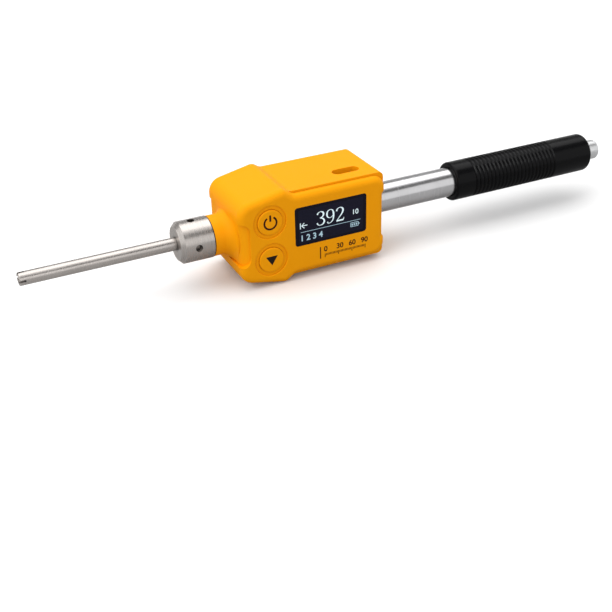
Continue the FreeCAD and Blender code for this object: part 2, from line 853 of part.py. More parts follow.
def boss_outline(x, z):
    """A round boss that runs out into the wall above or below it."""
    radius = d.cover_boss_od / 2
    wall = z_inner + d.wall / 2
    if z.value > 0:
        return [(x - radius, z, (x, z, radius)), (x + radius, z), (x + radius, wall),
                (x - radius, wall)]
    return [(x + radius, z, (x, z, radius)), (x - radius, z), (x - radius, -wall),
            (x + radius, -wall)]


def post_places():
    """Places of the three screws that hold the main board."""
    inset = d.panel_margin + d.post_gap + d.post_od / 2
    left = x_window - inset
    return [(left, d.post_rise), (left, -d.post_rise), (x_window_end + inset, ZERO)]


def key_places():
    return [("power", x_house + d.key_place, d.key_rise),
            ("down", x_house + d.key_place, -d.key_rise)]


def window_outline(margin):
    """The display opening, smaller all round by a margin."""
    left = x_window + margin
    right = x_window_end - margin
    half = d.window_height / 2 - margin
    return rounded(left, right, z_window - half, z_window + half, d.window_corner)


def hollow_outline(left, margin):
    """The space inside the housing from one place on, smaller all round by a margin."""
    top = z_inner - margin
    upper = [(left + margin, d.head_corner - d.wall - margin),
             (x_house + d.head_crest, top), (x_wall - margin, top)]
    return upper + [(x, -z) for x, z in reversed(upper)]


def slot_outline(width, height):
    """An outline with round ends, in line with the charging slot, seen from above."""
    middle = x_end - d.slot_inset
    return rounded(middle - width / 2, middle + width / 2, y_socket - height / 2,
                   y_socket + height / 2, height / 2 - d.fixed_gap)


def outline_at(body, name, y, points):
    """A sketch that faces the front, at one depth."""
    sketch = sketch_on(body, name, "XZ_Plane", -y)
    add_outline(sketch, points)
    return sketch


def circles_at(body, name, y, places, diameter):
    """A sketch of alike circles that faces the front, at one depth."""
    sketch = sketch_on(body, name, "XZ_Plane", -y)
    for x, z in places:
        add_circle(sketch, x, z, diameter)
    return sketch


def shell_outside(body):
    """Head bumper with its sloping shoulders, raised plates and softly rounded rims."""
    depth = y_back - y_front
    sketch = outline_at(body, "house_outline", y_back, house_outline())
    extrude(body, "block", sketch, depth)
    for name, radius, x, z in (
            ("head_corners", d.head_corner_radius, x_house, d.head_corner),
            ("crests", d.crest_radius, x_house + d.head_crest, d.head_crest_height),
            ("feet", d.foot_radius, x_house + d.head_foot, z_top),
            ("end_corners", d.end_radius, x_end, z_top)):
        round_edges(body, name, radius, edge_along_y(x, z))
    round_edges(body, "front_rim", d.front_rim_radius, rim_at(y_front))
    sketch = outline_at(body, "plate_outline", y_back, plate_outline())
    extrude(body, "plates", sketch, y_back - y_ledge)
    round_edges(body, "plate_corners", d.plate_end_radius, edge_along_y(x_end, z_plate))
    round_edges(body, "back_rim", d.back_rim_radius, rim_at(y_back))


def shell_scoop(body):
    """Recess behind the neck that wraps in one curve round the left end's front corner."""
    x_centre = x_scoop + d.scoop_round
    x_edge = x_house + d.scoop_front
    across = x_centre - x_edge
    y_edge = y_scoop - (d.scoop_round * d.scoop_round - across * across).root()
    before = y_front - d.wall
    behind = y_back + d.wall
    left = x_house - d.wall
    sketch = sketch_on(body, "scoop_outline", "XY_Plane")
    add_outline(sketch, [
        (left, behind), (x_scoop, behind), (x_scoop, y_scoop, (x_centre, y_scoop, d.scoop_round)),
        (x_edge, y_edge), (x_edge, before), (left, before)])
    extrude(body, "scoop", sketch, d.scoop_height, kind="Pocket", both=True)
    round_edges(body, "scoop_corners", d.scoop_corner,
                edge_along_y(x_edge, d.scoop_height / 2))


def shell_neck(body):
    """Round neck that flares into the scooped end of the head."""
    neck = neck_od / 2
    rim = neck + d.neck_flare
    start = x_scoop - d.neck_flare
    turn(body, "neck", [
        (x_neck, ZERO), (x_neck, neck), (start, neck, (start, rim, d.neck_flare)),
        (x_scoop, rim), (x_inner, rim), (x_inner, ZERO)])


def shell_form(body):
    """The whole housing's outside form, from which each half is cut."""
    shell_outside(body)
    shell_scoop(body)
    shell_neck(body)


def cut_half(body, y0, y1):
    """Cuts away everything between two depths."""
    reach = d.head_crest_height + d.wall
    sketch = outline_at(body, "half_outline", y0,
                        rectangle(x_neck - d.wall, x_end + d.wall, -reach, reach))
    extrude(body, "other_half", sketch, y1 - y0, kind="Pocket")


def cut_hollow(body, name, y0, y1, left, margin):
    """Cuts the space inside between two depths."""
    sketch = outline_at(body, name + "_outline", y0, hollow_outline(left, margin))
    extrude(body, name, sketch, y1 - y0, kind="Pocket")


def shell_carriers(body):
    """Ribs for the tube holder, bosses for the cover screws and posts for the board."""
    start = x_barrel + d.fixed_gap
    ribs = sketch_on(body, "rib_outline", "YZ_Plane", start)
    half = d.rib_width / 2
    reach = z_inner + d.wall / 2
    add_outline(ribs, rectangle(-half, half, -reach, reach))
    extrude(body, "ribs", ribs, d.rib_thickness)
    turn(body, "rib_seats", [
        (start - d.wall, ZERO), (start - d.wall, holder_od / 2 + d.fixed_gap),
        (start + d.rib_thickness + d.wall, holder_od / 2 + d.fixed_gap),
        (start + d.rib_thickness + d.wall, ZERO)], "Groove")
    bosses = sketch_on(body, "boss_outline", "XZ_Plane", -y_lip)
    for x, z in boss_places():
        add_outline(bosses, boss_outline(x, z))
    extrude(body, "cover_bosses", bosses, d.cover_boss_length)
    holes = circles_at(body, "boss_hole_outline", y_lip, boss_places(),
                       d.cover_screw_od + d.fixed_gap * 2)
    extrude(body, "boss_holes", holes, d.cover_screw_bite + d.seat_gap, kind="Pocket",
            reverse=True)
    posts = circles_at(body, "post_outline", y_board, post_places(), d.post_od)
    extrude(body, "board_posts", posts, y_board - y_inner + d.wall / 2)
    holes = circles_at(body, "post_hole_outline", y_board, post_places(),
                       d.board_screw_od + d.fixed_gap * 2)
    extrude(body, "post_holes", holes, d.post_depth, kind="Pocket", reverse=True)


def shell_openings(body):
    """Bores for the tubes, the display window, the key bores and the charging slot."""
    turn(body, "neck_bore", [
        (x_neck - d.wall, ZERO), (x_neck - d.wall, spigot_od / 2 + d.fixed_gap),
        (x_inner + d.seat_gap, spigot_od / 2 + d.fixed_gap),
        (x_inner + d.seat_gap, ZERO)], "Groove")
    turn(body, "barrel_bore", [
        (x_wall - d.seat_gap, ZERO), (x_wall - d.seat_gap, barrel_od / 2 + d.fixed_gap),
        (x_end + d.wall, barrel_od / 2 + d.fixed_gap), (x_end + d.wall, ZERO)], "Groove")

    lens_depth = d.lens_thickness + d.lens_recess
    sketch = outline_at(body, "window_outline", y_front - d.wall, window_outline(ZERO))
    extrude(body, "window", sketch, d.wall + lens_depth, kind="Pocket")
    sketch = outline_at(body, "view_outline", y_front, window_outline(d.lens_margin))
    extrude(body, "view_opening", sketch, d.wall + d.seat_gap, kind="Pocket")

    places = [(x, z) for name, x, z in key_places()]
    dish_od = d.key_od + d.dish_rim * 2
    dishes = circles_at(body, "dish_outline", y_front - d.wall, places, dish_od)
    extrude(body, "dishes", dishes, d.wall + d.dish_depth, kind="Pocket")
    round_edges(body, "dish_edges", d.dish_round, circle_at(y_front, dish_od / 2))
    bores = circles_at(body, "key_bore_outline", y_front - d.wall, places,
                       d.key_od + d.key_gap * 2)
    extrude(body, "key_bores", bores, d.wall * 2 + d.seat_gap, kind="Pocket")

    slot = sketch_on(body, "slot_outline", "XY_Plane", z_plate + d.wall)
    add_outline(slot, slot_outline(d.socket_width + d.slot_gap * 2,
                                   d.socket_height + d.slot_gap * 2))
    extrude(body, "slot", slot, d.wall + d.roof + d.seat_gap, kind="Pocket")


def make_front_shell():
    """Front half of the moulded housing, with what it carries and its openings."""
    body = new_body("front_shell")
    shell_form(body)
    cut_half(body, y_part, y_back + d.wall)
    x_step = x_scoop + d.scoop_round - d.scoop_step_in
    y_step = y_scoop - d.scoop_step_deep
    cut_hollow(body, "hollow", y_step, y_part + d.wall, x_inner, ZERO)
    cut_hollow(body, "front_hollow", y_inner, y_step, x_step, ZERO)
    shell_carriers(body)
    shell_openings(body)


def make_rear_cover():
    """Rear half of the housing: its lip nests in the front half, and four screws hold it."""
    body = new_body("rear_cover")
    shell_form(body)
    cut_half(body, y_front - d.wall, y_part)
    lip_inside = d.cover_gap + d.cover_lip_wall
    cut_hollow(body, "hollow", y_part - d.wall, y_cover, x_inner, lip_inside)
    lip = outline_at(body, "lip_outline", y_part, hollow_outline(x_inner, d.cover_gap))
    add_outline(lip, hollow_outline(x_inner, lip_inside))
    extrude(body, "lip", lip, d.cover_lip)
    columns = circles_at(body, "column_outline", y_cover, boss_places(), d.cover_boss_od)
    extrude(body, "screw_columns", columns, y_cover - y_lip)
    hole = d.cover_screw_od + d.running_gap
    sketch = circles_at(body, "cover_hole_outline", y_back, boss_places(), hole)
    extrude(body, "cover_holes", sketch, y_back - y_lip + d.seat_gap, kind="Pocket",
            reverse=True)
    sink = (d.cover_screw_head - d.cover_screw_od) / 2
    round_edges(body, "countersinks", sink, circle_at(y_back, hole / 2), "Chamfer")
    y_head = y_back - d.fixed_gap
    screws = [screw("cover_screw_%d" % index, x, z, y_head, d.cover_screw_od,
                    d.cover_screw_head, sink, y_head - y_lip + d.cover_screw_bite, True)
              for index, (x, z) in enumerate(boss_places(), start=1)]
    keep(join("cover_screws", screws), "cover_screws")


def peg(name, x, z, y0, y1, diameter):
    """A round bar along Y."""
    item = doc.addObject("Part::Cylinder", name)
    bind(item, "Radius", diameter / 2)
    bind(item, "Height", y1 - y0)
    item.Placement.Rotation = FreeCAD.Rotation(FreeCAD.Vector(1, 0, 0), -90)
    for axis, place in (("x", x), ("y", y0), ("z", z)):
        bind(item, "Placement.Base." + axis, place)
    return item


def screw(name, x, z, y_head, shank_od, head_od, head_height, length, countersunk):
    """A screw that points towards the front, its head's top at one depth."""
    shank = peg(name + "_shank", x, z, y_head - length, y_head, shank_od)
    head = doc.addObject("Part::Cone", name + "_head")
    bind(head, "Radius1", (shank_od if countersunk else head_od) / 2)
    bind(head, "Radius2", head_od / 2)
    bind(head, "Height", head_height)
    head.Placement.Rotation = FreeCAD.Rotation(FreeCAD.Vector(1, 0, 0), -90)
    for axis, place in (("x", x), ("y", y_head - head_height), ("z", z)):
        bind(head, "Placement.Base." + axis, place)
    return join(name, [shank, head])


def make_display():
    """Lens in the window, display panel behind it and the frame that spaces it off the board."""
    front = y_front + d.lens_recess
    back = front + d.lens_thickness
    body = new_body("display_window")
    sketch = outline_at(body, "lens_outline", back, window_outline(d.fixed_gap * 2))
    extrude(body, "lens", sketch, d.lens_thickness)

    left = x_window - d.panel_margin
    right = x_window_end + d.panel_margin
    z_high = z_window + d.window_height / 2 + d.panel_top
    z_low = z_window - d.window_height / 2 - d.panel_bottom
    keep(block("oled_module", left, right, y_panel, y_frame, z_low, z_high), "oled_module")
    border = d.frame_border
    outside = block("frame_block", left, right, y_frame, y_board, z_low, z_high)
    inside = block("frame_space", left + border, right - border, y_frame - d.wall,
                   y_board + d.wall, z_low + border, z_high - border)
    keep(cut("display_frame", outside, inside), "display_frame")


def make_boards():
    """Main board with its screws, the two key switches and the upright charging board."""
    board = block("board_blank", x_house + d.board_start, x_wall - d.board_end_gap,
                  y_board, y_board_back, -z_board, z_board)
    reach = d.wall
    tools = [peg("notch_%d" % index, x, z, y_board - reach, y_board_back + reach,
                 d.cover_boss_od + d.seat_gap * 2)
             for index, (x, z) in enumerate(boss_places(), start=1)]
    tools += [peg("board_hole_%d" % index, x, z, y_board - reach, y_board_back + reach,
                  d.board_screw_od + d.running_gap)
              for index, (x, z) in enumerate(post_places(), start=1)]
    keep(cut("main_board", board, join("board_tools", tools)), "main_board")
    rise = d.board_screw_od / 2 + d.seat_gap
    screws = [screw("board_screw_%d" % index, x, z, y_board_back + rise, d.board_screw_od,
                    d.board_screw_head, rise, d.board_screw_length, False)
              for index, (x, z) in enumerate(post_places(), start=1)]
    keep(join("board_screws", screws), "board_screws")
    for name, x, z in key_places():
        half = d.switch_width / 2
        y_case = y_board - d.switch_height
        case = block(name + "_case", x - half, x + half, y_case, y_board, z - half, z + half)
        y_tip = y_inner + d.key_gap + d.key_flange + d.key_travel + d.key_gap / 2
        plunger = peg(name + "_plunger", x, z, y_tip, y_board - d.switch_height / 2,
                      d.plunger_od)
        keep(join(name + "_switch", [case, plunger]), name + "_switch")


def make_keys():
    """Two round keys with a crowned face and a flange that keeps them behind the wall."""
    for name, x, z in key_places():
        body = new_body(name + "_button")
        y_flange = y_inner + d.key_gap
        sketch = circles_at(body, name + "_flange_outline", y_flange + d.key_flange, [(x, z)],
                            d.key_od + d.key_rim * 2)
        extrude(body, name + "_flange", sketch, d.key_flange)
        sketch = circles_at(body, name + "_cap_outline", y_flange, [(x, z)], d.key_od)
        y_top = y_front - d.key_proud
        extrude(body, name + "_cap", sketch, y_flange - y_top)
        round_edges(body, name + "_crown", d.key_crown, circle_at(y_top, d.key_od / 2))


def make_charging():
    """Charging socket under the slot, upright on a small board, and the battery."""
    z_socket = z_inner - d.running_gap
    z_foot = z_socket - d.socket_length
    body = new_body("usb_socket")
    sketch = sketch_on(body, "socket_outline", "XY_Plane", z_foot)
    add_outline(sketch, slot_outline(d.socket_width, d.socket_height))
    extrude(body, "socket", sketch, d.socket_length)
    sketch = sketch_on(body, "mouth_outline", "XY_Plane", z_socket)
    add_outline(sketch, slot_outline(d.socket_width - d.socket_wall * 2,
                                     d.socket_height - d.socket_wall * 2))
    extrude(body, "mouth", sketch, d.socket_length - d.socket_floor, kind="Pocket")
    sketch = sketch_on(body, "tongue_outline", "XY_Plane", z_foot + d.socket_floor / 2)
    add_outline(sketch, slot_outline(d.tongue_width, d.tongue_thickness))
    extrude(body, "tongue", sketch, d.tongue_length)

    middle = x_end - d.slot_inset
    half = d.socket_width / 2 + d.usb_board_margin
    keep(block("usb_board", middle - half, middle + half, y_board_back,
               y_board_back + d.usb_board_depth, z_foot - d.board_thickness, z_foot), "usb_board")

    body = new_body("battery")
    left = x_house + d.battery_start
    half = d.battery_height / 2
    sketch = outline_at(body, "battery_outline", y_cover - d.seat_gap,
                        rectangle(left, left + d.battery_length, -half, half))
    extrude(body, "battery_cell", sketch, d.battery_thickness)


make_probe_tube()
make_collar()
make_guide_tube()
make_barrel()
make_impact_body()
make_catch()
make_grip()
make_release_button()
make_front_shell()
make_rear_cover()
make_display()
make_boards()
make_keys()
make_charging()

doc.recompute()

for item in doc.Objects:
    if "Invalid" in item.State or "Error" in item.State:
        raise RuntimeError("%s failed: %s" % (item.Label, item.State))
for item in PARTS:
    if item.Shape.isNull() or not item.Shape.isValid():
        raise RuntimeError(item.Label + " has no valid shape")

os.makedirs("parts", exist_ok=True)
for item in PARTS:
    item.Shape.exportStep("parts/" + item.Label + ".step")
print(len(PARTS), "pieces")
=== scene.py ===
import json
import math

import bmesh
import bpy
from mathutils import Matrix, Quaternion, Vector


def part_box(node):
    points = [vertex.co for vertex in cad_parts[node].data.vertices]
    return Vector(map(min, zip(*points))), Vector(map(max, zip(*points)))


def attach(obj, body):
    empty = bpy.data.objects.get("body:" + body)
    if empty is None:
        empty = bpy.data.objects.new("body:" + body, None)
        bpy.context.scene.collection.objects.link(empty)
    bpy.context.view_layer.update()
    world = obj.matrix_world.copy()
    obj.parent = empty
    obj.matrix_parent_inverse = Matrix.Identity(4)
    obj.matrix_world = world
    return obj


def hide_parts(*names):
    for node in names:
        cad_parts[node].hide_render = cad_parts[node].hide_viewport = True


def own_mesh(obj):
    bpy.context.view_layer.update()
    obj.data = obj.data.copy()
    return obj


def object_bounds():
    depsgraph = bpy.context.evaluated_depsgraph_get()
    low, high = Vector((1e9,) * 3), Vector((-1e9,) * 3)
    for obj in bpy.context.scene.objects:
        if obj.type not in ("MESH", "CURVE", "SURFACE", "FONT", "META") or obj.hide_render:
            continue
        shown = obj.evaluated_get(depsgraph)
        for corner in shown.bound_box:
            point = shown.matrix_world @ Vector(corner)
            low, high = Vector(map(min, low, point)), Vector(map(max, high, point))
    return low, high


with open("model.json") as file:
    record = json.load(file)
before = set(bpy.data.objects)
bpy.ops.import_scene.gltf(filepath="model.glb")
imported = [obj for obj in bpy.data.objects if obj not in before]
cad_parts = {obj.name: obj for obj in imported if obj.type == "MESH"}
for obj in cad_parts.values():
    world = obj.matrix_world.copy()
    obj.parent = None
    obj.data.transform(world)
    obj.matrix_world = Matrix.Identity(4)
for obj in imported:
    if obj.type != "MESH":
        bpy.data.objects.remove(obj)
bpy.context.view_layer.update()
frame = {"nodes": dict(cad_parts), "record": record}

MM = 0.001
MICRON = 0.000001

# The photograph's camera, worked out from the object's own edges
IMAGE_PIXELS = 612
FOCAL_PIXELS = 1002.2
SENSOR_WIDTH = 36.0
CAMERA_PLACE = (-34.38 * MM, -276.96 * MM, 142.85 * MM)
CAMERA_YAW = 0.438
CAMERA_PITCH = 0.528
CAMERA_ROLL = 0.027
NEAREST_SEEN = 0.01
FURTHEST_SEEN = 20.0

# Printed faces, where X counts from the window's middle and Z from the tester's axis
window_low, window_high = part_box("display_window")
window_middle = (window_low.x + window_high.x) / 2
WINDOW_FACE = Vector((window_middle, window_low.y, 0.0))
HOUSING_FACE = Vector((window_middle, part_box("front_shell")[0].y, 0.0))
PRINT_HEIGHT = 0.02 * MM

# How much heavier than the typeface the numbers are, as a share of their size
BOLD = 0.022
SLIM = 0.006

# The springs, their wire thinned a little so that it touches nothing
LOADING_WIRE = 0.8 * MM
LOADING_TURNS = 10
BUTTON_WIRE = 0.45 * MM
BUTTON_TURNS = 5
STEPS_PER_TURN = 28
WIRE_SIDES = 10
WIRE_THINNED = 0.96

# The stage, in metres, and its light, where 1 shows a colour as written
MIDDLE = (0.1, 0.0, 0.0)
WORLD_LEVEL = 0.82
FLOOR_SIZE = 8.0
FLOOR_RETURNED = (0.38, 0.4)
FLOOR_SEEN = (0.93, 0.95)
FADE_START = 0.45
FADE_END = 0.95
CARD_LIFT = 1.0 * MM


def set_camera():
    """The photograph's camera and plain colours."""
    camera = bpy.data.objects.new("camera", bpy.data.cameras.new("camera"))
    bpy.context.collection.objects.link(camera)
    camera.data.sensor_width = SENSOR_WIDTH
    camera.data.lens = FOCAL_PIXELS / IMAGE_PIXELS * SENSOR_WIDTH
    camera.data.clip_start = NEAREST_SEEN
    camera.data.clip_end = FURTHEST_SEEN
    turn = (Matrix.Rotation(-CAMERA_YAW, 4, "Z")
            @ Matrix.Rotation(math.pi / 2 - CAMERA_PITCH, 4, "X")
            @ Matrix.Rotation(-CAMERA_ROLL, 4, "Z"))
    camera.matrix_world = Matrix.Translation(CAMERA_PLACE) @ turn
    bpy.context.scene.camera = camera
    bpy.context.scene.view_settings.view_transform = "Standard"


class Nodes:
    """A material's node tree with short calls to build it."""

    def __init__(self, name):
        self.material = bpy.data.materials.new(name)
        self.material.use_nodes = True
        self.tree = self.material.node_tree
        self.shader = self.tree.nodes["Principled BSDF"]
        self.place = self.add("ShaderNodeTexCoord").outputs["Object"]

    def add(self, kind, **values):
        """A new node with some of its settings."""
        node = self.tree.nodes.new(kind)
        for key, value in values.items():
            setattr(node, key, value)
        return node

    def link(self, source, target):
        """Joins an output to an input."""
        self.tree.links.new(source, target)

    def stretched(self, scale):
        """The object's own coordinates, scaled along each axis."""
        node = self.add("ShaderNodeMapping")
        node.inputs["Scale"].default_value = scale
        self.link(self.place, node.inputs["Vector"])
        return node.outputs["Vector"]

    def noise(self, cells, detail=3.0):
        """Noise with so many cells to the metre, one number or one for each axis."""
        even = not isinstance(cells, tuple)
        node = self.add("ShaderNodeTexNoise")
        node.inputs["Scale"].default_value = cells if even else 1.0
        node.inputs["Detail"].default_value = detail
        self.link(self.place if even else self.stretched(cells), node.inputs["Vector"])
        return node.outputs["Fac"]

    def ramp(self, source, low, high, start=0.3, end=0.7):
        """One colour or grey up to a start, another from an end, and a blend between them."""
        node = self.add("ShaderNodeValToRGB")
        for element, place, colour in zip(node.color_ramp.elements, (start, end), (low, high)):
            channels = colour if isinstance(colour, tuple) else (colour, colour, colour)
            element.position = place
            element.color = (*channels, 1.0)
        self.link(source, node.inputs["Fac"])
        return node.outputs["Color"]

    def times(self, colour, factor):
        """A colour darkened by a grey."""
        node = self.add("ShaderNodeMix", data_type="RGBA", blend_type="MULTIPLY")
        node.inputs["Factor"].default_value = 1.0
        self.link(colour, node.inputs["A"])
        self.link(factor, node.inputs["B"])
        return node.outputs["Result"]

    def painted_hollow_shade(self, reach, dark):
        """Painted shade: white that falls to a dark tone in holes, slots and seams, found by ambient
        occlusion.
        """
        node = self.add("ShaderNodeAmbientOcclusion", samples=8)
        node.inputs["Distance"].default_value = reach
        return self.ramp(node.outputs["AO"], dark, 1.0, start=0.25, end=0.85)

    def bump(self, height, distance, strength=1.0, over=None):
        """A surface raised by a height of a distance, over another such surface."""
        node = self.add("ShaderNodeBump")
        node.inputs["Strength"].default_value = strength
        node.inputs["Distance"].default_value = distance
        self.link(height, node.inputs["Height"])
        if over is not None:
            self.link(over, node.inputs["Normal"])
        return node.outputs["Normal"]

    def hold(self, **values):
        """Constants on the shader's own sockets."""
        for name, value in values.items():
            self.shader.inputs[name.replace("_", " ")].default_value = value

    def feed(self, name, source):
        """Joins an output to one of the shader's sockets."""
        self.link(source, self.shader.inputs[name])


def shade(colour, factor):
    """A colour made darker or lighter."""
    return tuple(min(1.0, channel * factor) for channel in colour)


def turned_metal(name, colour, roughness, mark=0.12 * MICRON, streak=0.0):
    """Turned or ground metal: fine rings across X, long faint streaks, cloudy smudges and painted shade
    in holes and slots.
    """
    nodes = Nodes(name)
    rings = nodes.noise((7000.0, 90.0, 90.0), detail=2.0)
    fine_rings = nodes.noise((21000.0, 40.0, 40.0), detail=1.0)
    streaks = nodes.noise((2600.0, 30.0, 30.0), detail=2.0)
    smudges = nodes.noise(130.0, detail=4.0)
    tone = nodes.ramp(smudges, shade(colour, 0.93), colour)
    lines = nodes.ramp(streaks, 1.0 - streak, 1.0, start=0.35, end=0.65)
    # Painted shade: the colour falls to near black in holes and slots, where ambient occlusion finds
    # them
    painted_hole_shade = nodes.painted_hollow_shade(reach=1.6 * MM, dark=0.04)
    nodes.feed("Base Color", nodes.times(nodes.times(tone, lines), painted_hole_shade))
    nodes.feed("Roughness", nodes.ramp(rings, roughness * 0.75, roughness * 1.25))
    ring_marks = nodes.bump(rings, mark * 6)
    nodes.feed("Normal", nodes.bump(fine_rings, mark * 3, over=ring_marks))
    nodes.hold(Metallic=1.0, Anisotropic=0.3)
    return nodes.material


def moulded_plastic(name, colour, roughness, grain=10 * MICRON, specular=0.5):
    """Moulded plastic: fine spark-eroded grain, faint flow marks, a little tone variation and painted
    shade in seams and slots.
    """
    nodes = Nodes(name)
    grains = nodes.noise(5200.0, detail=2.0)
    flow = nodes.noise(55.0)
    tone = nodes.ramp(flow, shade(colour, 0.965), colour, end=0.72)
    # Painted shade: the colour darkens towards brown in seams, slots and key gaps, where ambient
    # occlusion finds them
    painted_seam_shade = nodes.painted_hollow_shade(reach=0.8 * MM, dark=(0.62, 0.42, 0.3))
    nodes.feed("Base Color", nodes.times(tone, painted_seam_shade))
    nodes.feed("Roughness", nodes.ramp(grains, roughness * 0.85, roughness * 1.15, start=0.25, end=0.75))
    waves = nodes.bump(flow, grain * 4, strength=0.5)
    nodes.feed("Normal", nodes.bump(grains, grain, strength=0.5, over=waves))
    nodes.hold(Specular_IOR_Level=specular)
    return nodes.material


def display_glass(name):
    """Dark polished lens with a faint haze and smears."""
    nodes = Nodes(name)
    haze = nodes.noise(240.0)
    smears = nodes.noise(420.0, detail=4.0)
    tone = nodes.ramp(haze, (0.0052, 0.0048, 0.0105), (0.0075, 0.0068, 0.0145), start=0.2, end=0.8)
    nodes.feed("Base Color", tone)
    nodes.feed("Roughness", nodes.ramp(smears, 0.045, 0.1, end=0.8))
    nodes.hold(Specular_IOR_Level=0.1)
    return nodes.material


def glowing(name, colour, strength):
    """Lit display segments, a little uneven across their height as a real panel is."""
    nodes = Nodes(name)
    rows = nodes.noise((900.0, 1.0, 5600.0), detail=1.0)
    nodes.feed("Emission Color", nodes.ramp(rows, shade(colour, 0.86), colour, start=0.25, end=0.75))
    nodes.hold(Base_Color=(0.02, 0.02, 0.03, 1.0), Roughness=0.35, Emission_Strength=strength)
    return nodes.material


def printed(name, colour):
    """Pad-printed ink with slightly uneven cover."""
    nodes = Nodes(name)
    cover = nodes.noise(2600.0)
    nodes.feed("Base Color", nodes.ramp(cover, shade(colour, 0.8), shade(colour, 1.25)))
    nodes.feed("Roughness", nodes.ramp(cover, 0.42, 0.55))
    nodes.feed("Normal", nodes.bump(cover, 4 * MICRON, strength=0.4))
    nodes.hold(Specular_IOR_Level=0.12)
    return nodes.material


YELLOW = (0.98, 0.374, 0.0015)

METALS = {
    "satin_steel": dict(colour=(0.57, 0.53, 0.5), roughness=0.29, mark=0.04 * MICRON, streak=0.06),
    "polished_steel": dict(colour=(0.66, 0.655, 0.665), roughness=0.22, mark=0.02 * MICRON),
    "button_grey": dict(colour=(0.76, 0.765, 0.77), roughness=0.4, mark=0.06 * MICRON),
    "screw_steel": dict(colour=(0.2, 0.2, 0.205), roughness=0.35),
    "socket_shell": dict(colour=(0.55, 0.54, 0.52), roughness=0.25),
    "coil_copper": dict(colour=(0.62, 0.25, 0.11), roughness=0.3),
    "spring_steel": dict(colour=(0.45, 0.45, 0.46), roughness=0.24),
    "hard_metal": dict(colour=(0.36, 0.36, 0.37), roughness=0.12),
    "tube_brass": dict(colour=(0.72, 0.53, 0.24), roughness=0.24),
}
PLASTICS = {
    "housing_yellow": dict(colour=YELLOW, roughness=0.5, specular=0.07),
    "key_yellow": dict(colour=YELLOW, roughness=0.48, specular=0.07),
    "grip_black": dict(colour=(0.003, 0.003, 0.0035), roughness=0.24, grain=2 * MICRON, specular=0.1),
    "seal_rubber": dict(colour=(0.02, 0.017, 0.015), roughness=0.6, specular=0.3),
    "circuit_board": dict(colour=(0.015, 0.11, 0.045), roughness=0.35),
    "part_black": dict(colour=(0.02, 0.02, 0.022), roughness=0.5),
    "cell_foil": dict(colour=(0.42, 0.44, 0.47), roughness=0.4),
}
MATERIALS = {name: turned_metal(name, **look) for name, look in METALS.items()}
MATERIALS.update({name: moulded_plastic(name, **look) for name, look in PLASTICS.items()})
MATERIALS["lens"] = display_glass("lens")

INK_MAROON = printed("ink_maroon", (0.035, 0.005, 0.002))
INK_BLACK = printed("ink_black", (0.014, 0.009, 0.006))
PANEL_DARK = printed("panel_dark", (0.0075, 0.0075, 0.02))
LIT = glowing("lit_segments", (0.79, 0.96, 1.0), strength=1.0)
LIT_DIM = glowing("lit_segments_dim", (0.42, 0.62, 0.72), strength=0.9)


def dress_frame():
    """Gives every node of the frame the material of its slot."""
    slots = {row["node"]: row["material_slot"] for row in frame["record"]["subparts"]}
    for node, item in frame["nodes"].items():
        material = MATERIALS[slots[node]]
        if not item.material_slots:
            item.data.materials.append(material)
        for slot in item.material_slots:
            slot.material = material


def bridge(build, first, second):
    """Side faces between two loops of as many points."""
    count = len(first)
    for index in range(count):
        following = (index + 1) % count
        build.faces.new((first[index], first[following], second[following], second[index]))


def made_mesh(name, build):
    """A mesh of the faces that were built, turned outwards."""
    bmesh.ops.recalc_face_normals(build, faces=build.faces)
    mesh = bpy.data.meshes.new(name)
    build.to_mesh(mesh)
    build.free()
    return mesh


def add_piece(name, mesh, material, body):
    """A piece of the object that rides one of its bodies."""
    piece = bpy.data.objects.new(name, mesh)
    bpy.context.collection.objects.link(piece)
    mesh.materials.clear()
    mesh.materials.append(material)
    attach(piece, body)
    return piece


def plate(name, outlines, face, material, body, thickness=PRINT_HEIGHT):
    """Thin plates on a front face: each outline has (x, z) points in mm from the face's origin."""
    build = bmesh.new()
    for outline in outlines:
        places = [face + Vector((x * MM, 0.0, z * MM)) for x, z in outline]
        back = [build.verts.new(place) for place in places]
        front = [build.verts.new(place - Vector((0.0, thickness, 0.0))) for place in places]
        build.faces.new(front)
        build.faces.new(list(reversed(back)))
        bridge(build, back, front)
    add_piece(name, made_mesh(name, build), material, body)


def text_piece(name, words, x, z, size, face, material, body, bold=BOLD):
    """Plain numbers in the built-in typeface, as a thin mesh on a front face; x, z, size in mm."""
    curve = bpy.data.curves.new(name, "FONT")
    curve.body = words
    curve.size = size * MM
    curve.extrude = PRINT_HEIGHT / 2
    curve.offset = bold * size * MM
    text = bpy.data.objects.new(name + "_text", curve)
    bpy.context.collection.objects.link(text)
    bpy.context.view_layer.update()
    graph = bpy.context.evaluated_depsgraph_get()
    mesh = bpy.data.meshes.new_from_object(text.evaluated_get(graph))
    bpy.data.objects.remove(text)
    place = face + Vector((x * MM, -PRINT_HEIGHT / 2, z * MM))
    mesh.transform(Matrix.Translation(place) @ Matrix.Rotation(math.pi / 2, 4, "X"))
    add_piece(name, mesh, material, body)


def upright_line(x, start, end, width):
    """A line from one height to another, as (x, z, width) points."""
    return [(x, start, width), (x, end, width)]


def level_line(z, start, end, width):
    """A line from one X to another, as (x, z, width) points."""
    return [(start, z, width), (end, z, width)]


def arc(x, z, radius, start, end, width, steps=40):
    """Points of an arc, its angles in degrees, as a line of one width."""
    angles = [math.radians(start + (end - start) * step / steps) for step in range(steps + 1)]
    return [(x + radius * math.cos(angle), z + radius * math.sin(angle), width)
            for angle in angles]


